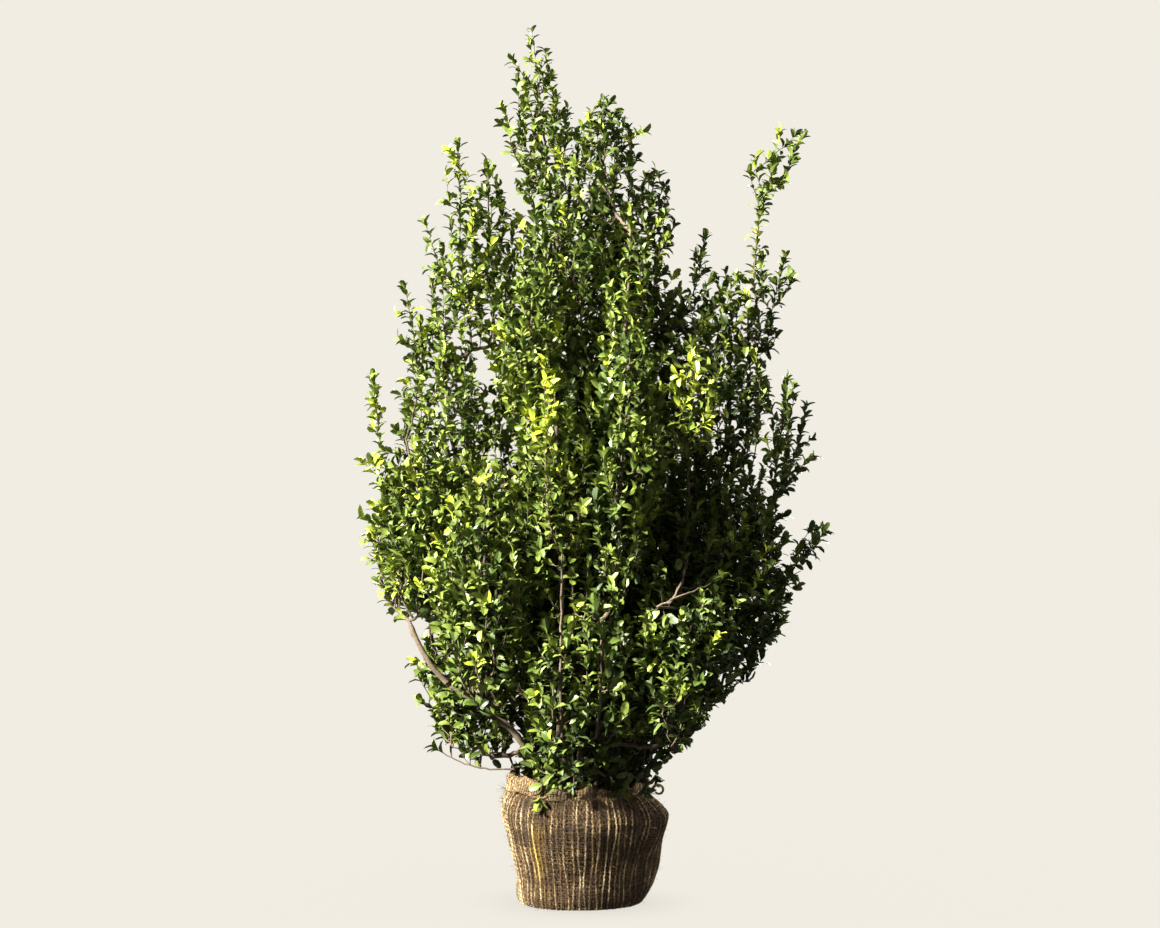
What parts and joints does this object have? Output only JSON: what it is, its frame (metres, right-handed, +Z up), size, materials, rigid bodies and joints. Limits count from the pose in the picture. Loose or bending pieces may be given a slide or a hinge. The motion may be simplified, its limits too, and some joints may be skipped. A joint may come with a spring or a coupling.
{
  "type": "evergreen shrub with root ball",
  "caption": "Upright bushy evergreen hedging shrub with several stems and small glossy leaves, standing on a root ball wrapped in burlap.",
  "frame": {"origin": "middle of the flat underside of the root ball, on the surface that it stands on", "axes": "+Z up along the plant, -Y towards the front, +X to the right seen from the front"},
  "size_m": [0.8612, 0.6328, 1.672],
  "materials": {
    "wrapped_soil": "matte",
    "burlap": "matte",
    "bark": "matte",
    "dark_foliage": "satin",
    "fresh_foliage": "satin"
  },
  "bodies": {
    "root": {"back_foot": "dark_foliage", "back_left_low": "dark_foliage", "back_left_middle": "dark_foliage", "back_left_stem": "bark", "back_low": "dark_foliage", "back_right_low": "dark_foliage", "back_right_middle": "dark_foliage", "back_right_stem": "bark", "back_side_shoot": "dark_foliage", "back_tall_shoot": "dark_foliage", "burlap_curl": "burlap", "burlap_hem": "burlap", "core_foot": "dark_foliage", "core_low": "dark_foliage", "core_middle": "dark_foliage", "core_top": "dark_foliage", "front_centre_shoot": "fresh_foliage", "front_left_low": "dark_foliage", "front_left_stem": "bark", "front_left_upper": "dark_foliage", "front_low": "dark_foliage", "front_middle": "dark_foliage", "front_right_low": "dark_foliage", "front_right_middle": "dark_foliage", "front_right_shoot": "fresh_foliage", "front_right_stem": "bark", "front_side_shoot": "dark_foliage", "front_upper": "dark_foliage", "leader_side_spray": "dark_foliage", "leader_spire": "fresh_foliage", "leader_stem": "bark", "left_bough": "bark", "left_far_shoot": "fresh_foliage", "left_foot": "dark_foliage", "left_fork_shoot": "dark_foliage", "left_inner_shoot": "dark_foliage", "left_low": "dark_foliage", "left_low_spray": "dark_foliage", "left_middle": "dark_foliage", "left_outer_shoot": "dark_foliage", "left_side_spray": "dark_foliage", "left_tall_shoot": "fresh_foliage", "right_bough": "bark", "right_far_shoot": "dark_foliage", "right_foot": "dark_foliage", "right_inner_shoot": "dark_foliage", "right_low": "dark_foliage", "right_low_spray": "dark_foliage", "right_middle": "dark_foliage", "right_outer_shoot": "dark_foliage", "right_shoulder": "dark_foliage", "right_side_shoot": "dark_foliage", "right_tall_head": "fresh_foliage", "right_tall_shoot": "dark_foliage", "root_ball": "wrapped_soil", "second_head": "dark_foliage"}
  },
  "joints": []
}
